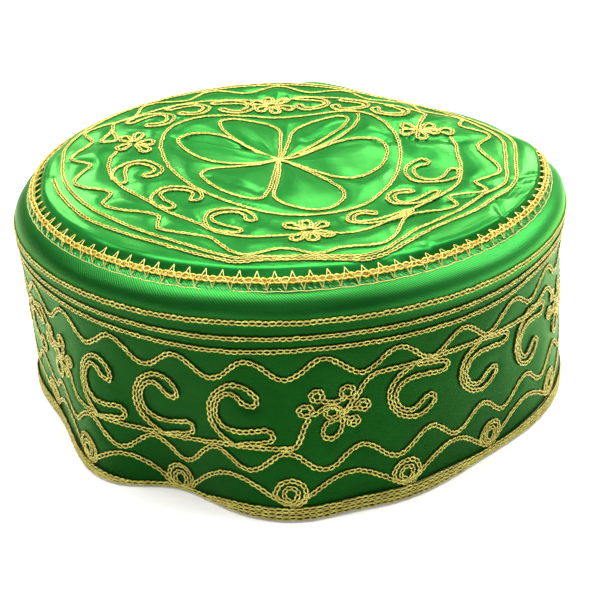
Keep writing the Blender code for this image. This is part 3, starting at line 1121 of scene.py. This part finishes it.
def seam_cord():
    """The cord of the seam with a row of wide chain stitch along it."""
    sewing = Sewing()
    radii, heights = cord_middle(ROUND)
    at = np.radians(ROUND)
    path = np.stack([radii * np.cos(at), radii * np.sin(at), heights], axis=1)
    points, faces = tube(path, CORD_RADIUS, closed=True, sides=6)
    # The cord's rise paints it partly in the thread's painted shade all along
    sewing.add(points, faces, tone=0.2, rise=0.55)
    lean = math.radians(CORD_LEAN)
    level = math.cos(lean)
    facing = np.stack([np.cos(at) * level, np.sin(at) * level, np.full_like(at, math.sin(lean))], axis=1)
    sewing.chain_line(path, facing, True, SEAM_CHAIN, CORD_CHAIN_LIFT, pucker=False)
    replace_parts(sewing.piece("couched_cord", cord_gold), "seam_cord")


def across_seam(angles, shares):
    """Points from the crown's flank (share 0) over the cord to the shoulder (share 1)."""
    radii, heights = cord_middle(angles)
    at = np.radians(angles)
    out = np.stack([np.cos(at), np.sin(at), np.zeros_like(at)], axis=1)
    up = np.array((0.0, 0.0, 1.0))
    cord = out * radii[:, None] + up * heights[:, None]
    reach = 0.8 * ZIGZAG_ON_CROWN * (1.0 - 0.55 * round_values(ROLLED_OVER, angles))
    crown_rows = np.interp(crown.radii[-1] - reach, crown.radii, np.arange(len(crown.radii)))
    high, face = crown.pick(angles, crown_rows)
    low, slope = band.pick(angles, np.full_like(angles, row_under_seam(ZIGZAG_ON_BAND)))
    over = CORD_RADIUS + 2.0 * SEAM_CHAIN.thread
    stops = np.stack(
        [
            high + face * 0.15,
            cord + (0.9 * up - 0.45 * out) * over,
            cord + (0.75 * up + 0.66 * out) * over,
            cord + (0.1 * up + out) * over,
            low + slope * 0.12,
        ]
    )
    place = shares * (len(stops) - 1)
    before = np.minimum(np.floor(place).astype(int), len(stops) - 2)
    part = (place - before)[:, None]
    every = np.arange(len(angles))
    return stops[before, every] * (1 - part) + stops[before + 1, every] * part


def zigzag():
    """The thin zigzag that couches the cord, with its tips on the crown."""
    sewing = Sewing()
    share = np.linspace(0.0, 1.0, 5)
    for tooth in range(ZIGZAGS):
        for start, end, way in ((0.0, ZIGZAG_SLANT, share), (ZIGZAG_SLANT, 1.0, 1.0 - share)):
            angles = (tooth + start + (end - start) * share) * 360.0 / ZIGZAGS
            points, faces = tube(across_seam(angles, way), ZIGZAG_THREAD, closed=False)
            sewing.add(points, faces)
    sewing.piece("couching_zigzag", pale_gold)


def seam_ladder():
    """Short green stitches under the cord, and the thin line that holds them."""
    greens = Sewing()
    arch = np.array((0.0, 0.28, 0.28, 0.05))[:, None]
    for step in range(LADDER_STEPS):
        angles = (step + np.linspace(0.0, LADDER_LEANS[step % 2], 4)) * 360.0 / LADDER_STEPS
        points, normals = band.pick(angles, row_under_seam(np.linspace(LADDER_TOP, LADDER_BOTTOM, 4)))
        greens.add(*tube(points + normals * arch, LADDER_THREAD, closed=False, up=normals))
    greens.piece("seam_ladder", green_thread)
    line = Sewing()
    depth = EDGE_LINE_DEPTH + 0.12 * np.sin(np.radians(ROUND * 90.0))
    points, normals = band.pick(ROUND, row_under_seam(depth))
    line.add(*tube(points + normals * 0.2, EDGE_LINE_THREAD, closed=True, up=normals))
    line.piece("seam_edge_line", pale_gold)


def lumps(points, size, height):
    """Soft random lumps of about this size and height at each point."""
    total = np.zeros(points.shape[:-1])
    for _ in range(LUMP_WAVES):
        way = unit(random.normal(0.0, 1.0, 3)) * math.tau / (size * random.uniform(0.7, 1.6))
        total += np.sin(points @ way + random.uniform(0.0, math.tau))
    return height * total / math.sqrt(LUMP_WAVES / 2.0)


def pucker(cloth, puff, lump):
    """The cloth pulled in along its stitched lines and swelling between them."""
    places = np.concatenate(stitched)
    tree = KDTree(len(places))
    for i, place in enumerate(places):
        tree.insert(Vector(place), i)
    tree.balance()
    away = np.array([tree.find(Vector(point))[2] for point in cloth.grid.reshape(-1, 3)])
    away = away.reshape(cloth.grid.shape[:2])
    furrow = -FURROW_DEPTH * bell(away, FURROW_WIDTH)
    puffed = puff[0] * (1.0 - bell(away, puff[1]))
    return furrow + puffed + lumps(cloth.grid, *lump) * (1.0 - bell(away, LUMPS_FROM_STITCH))


def creased():
    """How far its creases and the groove at the seam sink the crown's cloth."""
    sunk = np.zeros(crown.grid.shape[:2])
    for crease in CROWN_CREASES:
        line = through_points(crease.line, step=1.0)
        spots = on_crown(line[:, 0], line[:, 1])[0]
        away = np.full(sunk.shape, 1e9)
        for spot in spots:
            away = np.minimum(away, np.linalg.norm(crown.grid - spot, axis=2))
        sunk += crease.depth * bell(away, crease.width)
    depth, place, width = SEAM_GROOVE
    flat = 1.0 - round_values(ROLLED_OVER, SATIN_ANGLES)[:, None]
    return sunk + flat * depth * bell(crown.radii[-1] - crown.radii - place, width)


def closed_shell(name, outer, inner, material, size, inside_out=False):
    """Outer and inner sides of a cloth joined into one closed wall round both edges."""
    columns, rows = outer.shape[:2]
    inner_rows = inner.shape[1]
    points = np.concatenate([outer.reshape(-1, 3), inner.reshape(-1, 3)])
    column = np.arange(columns)[:, None]
    here, next_one = column * rows, (column + 1) % columns * rows
    under = columns * rows + column * inner_rows
    next_under = columns * rows + (column + 1) % columns * inner_rows
    row = np.arange(rows - 1)
    outside = quads(here + row, next_one + row, next_one + row + 1, here + row + 1)
    row = np.arange(inner_rows - 1)
    inside = quads(under + row, under + row + 1, next_under + row + 1, next_under + row)
    first_edge = quads(here, under, next_under, next_one)
    last, inner_last = rows - 1, inner_rows - 1
    last_edge = quads(next_one + last, next_under + inner_last, under + inner_last, here + last)
    faces = np.concatenate([outside, inside, first_edge, last_edge])
    if inside_out:
        faces = faces[:, ::-1]
    made = new_piece(name, points, faces, material)
    made.data.materials.append(reverse)
    index = np.zeros(len(faces), np.int32)
    index[len(outside): len(outside) + len(inside)] = 1
    made.data.polygons.foreach_set("material_index", index)
    lay_cloth_map(made, columns, rows, inner_rows, size)
    return made


def lay_cloth_map(piece, columns, rows, inner_rows, size):
    """Coordinates of the cloth in millimetres, for its weave."""
    mesh = piece.data
    corner = np.zeros(len(mesh.loops), np.int32)
    mesh.loops.foreach_get("vertex_index", corner)
    face = np.repeat(np.arange(len(mesh.polygons)), 4)
    outer = corner < columns * rows
    local = np.where(outer, corner, corner - columns * rows)
    deep = np.where(outer, rows, inner_rows)
    column = local // deep
    share = (local % deep) / (deep - 1)
    first = column.reshape(-1, 4)
    wrapped = (first.max(1) - first.min(1)) > columns // 2
    column = column + np.where(wrapped[face] & (column == 0), columns, 0)
    around, along = size
    layer = mesh.uv_layers.new(name="cloth")
    spots = np.stack([column / columns * around, share * along], axis=1)
    layer.data.foreach_set("uv", spots.astype(np.float32).ravel())


def lay_satin():
    """The green satin of the band and the crown, over the frame's two cloth nodes."""
    row = np.arange(BAND_ROWS)
    low, high = BAND_FADE_ROWS
    edge = np.clip(row / low, 0.0, 1.0) * np.clip((BAND_ROWS - 1 - row) / high, 0.0, 1.0)
    swell = pucker(band, BAND_PUFF, BAND_LUMPS) * edge
    outer = band.grid + band.normal * swell[..., None]
    kept = np.append(np.arange(0, BAND_ROWS - 1, BAND_LINING_STEP), BAND_ROWS - 1)
    inner = (band.grid - band.normal * BAND_WALL)[:, kept]
    inner[:, 0, 2] = 0.0
    made = closed_shell("satin_band", outer, inner, band_satin, BAND_CLOTH)
    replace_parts(made, "side_band")

    rows = len(crown.radii)
    edge = np.clip((rows - 1 - np.arange(rows)) / CROWN_FADE_ROWS, 0.0, 1.0)
    swell = (pucker(crown, CROWN_PUFF, CROWN_LUMPS) - creased()) * edge
    swell[:, 0] = swell[:, 0].mean()
    outer = crown.grid + crown.normal * swell[..., None]
    kept = np.append(np.arange(0, rows - 1, CROWN_LINING_STEP), rows - 1)
    inner = (crown.grid - crown.normal * CROWN_WALL)[:, kept]
    made = closed_shell("satin_crown", outer, inner, crown_satin, CROWN_CLOTH, True)
    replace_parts(made, "crown_panel")


def make_cap():
    """Sew everything, and then lay the satin that the stitches pull in."""
    top_rings()
    wave_line("upper_wave", UPPER_WAVE, drift=1.0)
    wave_line("lower_wave", LOWER_WAVE)
    loop_wave()
    rosettes()
    frieze_flowers()
    frieze_vines()
    frieze_scrolls()
    hem_edging()
    hem_rows()
    crown_rings()
    crown_wave()
    crown_flower()
    crown_small_flowers()
    crown_scrolls()
    seam_cord()
    zigzag()
    seam_ladder()
    lay_satin()


def make_camera():
    """The camera at the photograph's angle."""
    data = bpy.data.cameras.new("camera")
    data.sensor_width = SENSOR_WIDTH
    data.lens = LENS_LENGTH
    camera = bpy.data.objects.new("camera", data)
    rise = math.radians(CAMERA_ELEVATION)
    away = Vector((0.0, -math.cos(rise), math.sin(rise)))
    camera.location = (Vector(CAMERA_TARGET) + away * CAMERA_DISTANCE) * MM
    level = away.to_track_quat("Z", "Y").to_matrix().to_4x4()
    camera.rotation_euler = (level @ Matrix.Rotation(-math.radians(CAMERA_ROLL), 4, "Z")).to_euler()
    bpy.context.scene.collection.objects.link(camera)
    bpy.context.scene.camera = camera


def make_lights():
    """Broad soft light from above and behind."""
    for name, place, size, power in LIGHTS:
        data = bpy.data.lights.new(name, "AREA")
        data.shape = "DISK"
        data.size = size
        data.energy = power
        light = bpy.data.objects.new(name, data)
        light.location = place
        light.rotation_euler = (Vector(place) - Vector(LIT_POINT)).to_track_quat("Z", "Y").to_euler()
        bpy.context.scene.collection.objects.link(light)


def make_floor():
    """A plain pale floor."""
    finish = Finish("studio floor")
    grain = finish.noise(finish.node("TexCoord", "Object", {}), 3.0)
    material = finish.surface({
        "Base Color": finish.mixed(grain, (0.88, 0.88, 0.88), (0.92, 0.92, 0.92)),
        "Roughness": 0.9,
        "Emission Color": (1.0, 1.0, 1.0, 1.0),
        "Emission Strength": FLOOR_GLOW,
    })
    mesh = bpy.data.meshes.new("floor")
    corners = [(x * FLOOR_REACH, y * FLOOR_REACH, 0.0) for x, y in ((-1, -1), (1, -1), (1, 1), (-1, 1))]
    mesh.from_pydata(corners, [], [(0, 1, 2, 3)])
    mesh.materials.append(material)
    floor = bpy.data.objects.new("floor", mesh)
    floor.location.z = -FLOOR_DROP
    bpy.context.scene.collection.objects.link(floor)


def make_studio():
    """The floor, the lights and a pale world round them."""
    make_floor()
    make_lights()
    world = bpy.data.worlds.new("studio")
    world.use_nodes = True
    background = world.node_tree.nodes["Background"]
    background.inputs["Color"].default_value = (1.0, 1.0, 1.0, 1.0)
    background.inputs["Strength"].default_value = WORLD_LIGHT
    bpy.context.scene.world = world
    bpy.context.scene.view_settings.view_transform = "Standard"


make_cap()
make_studio()
make_camera()
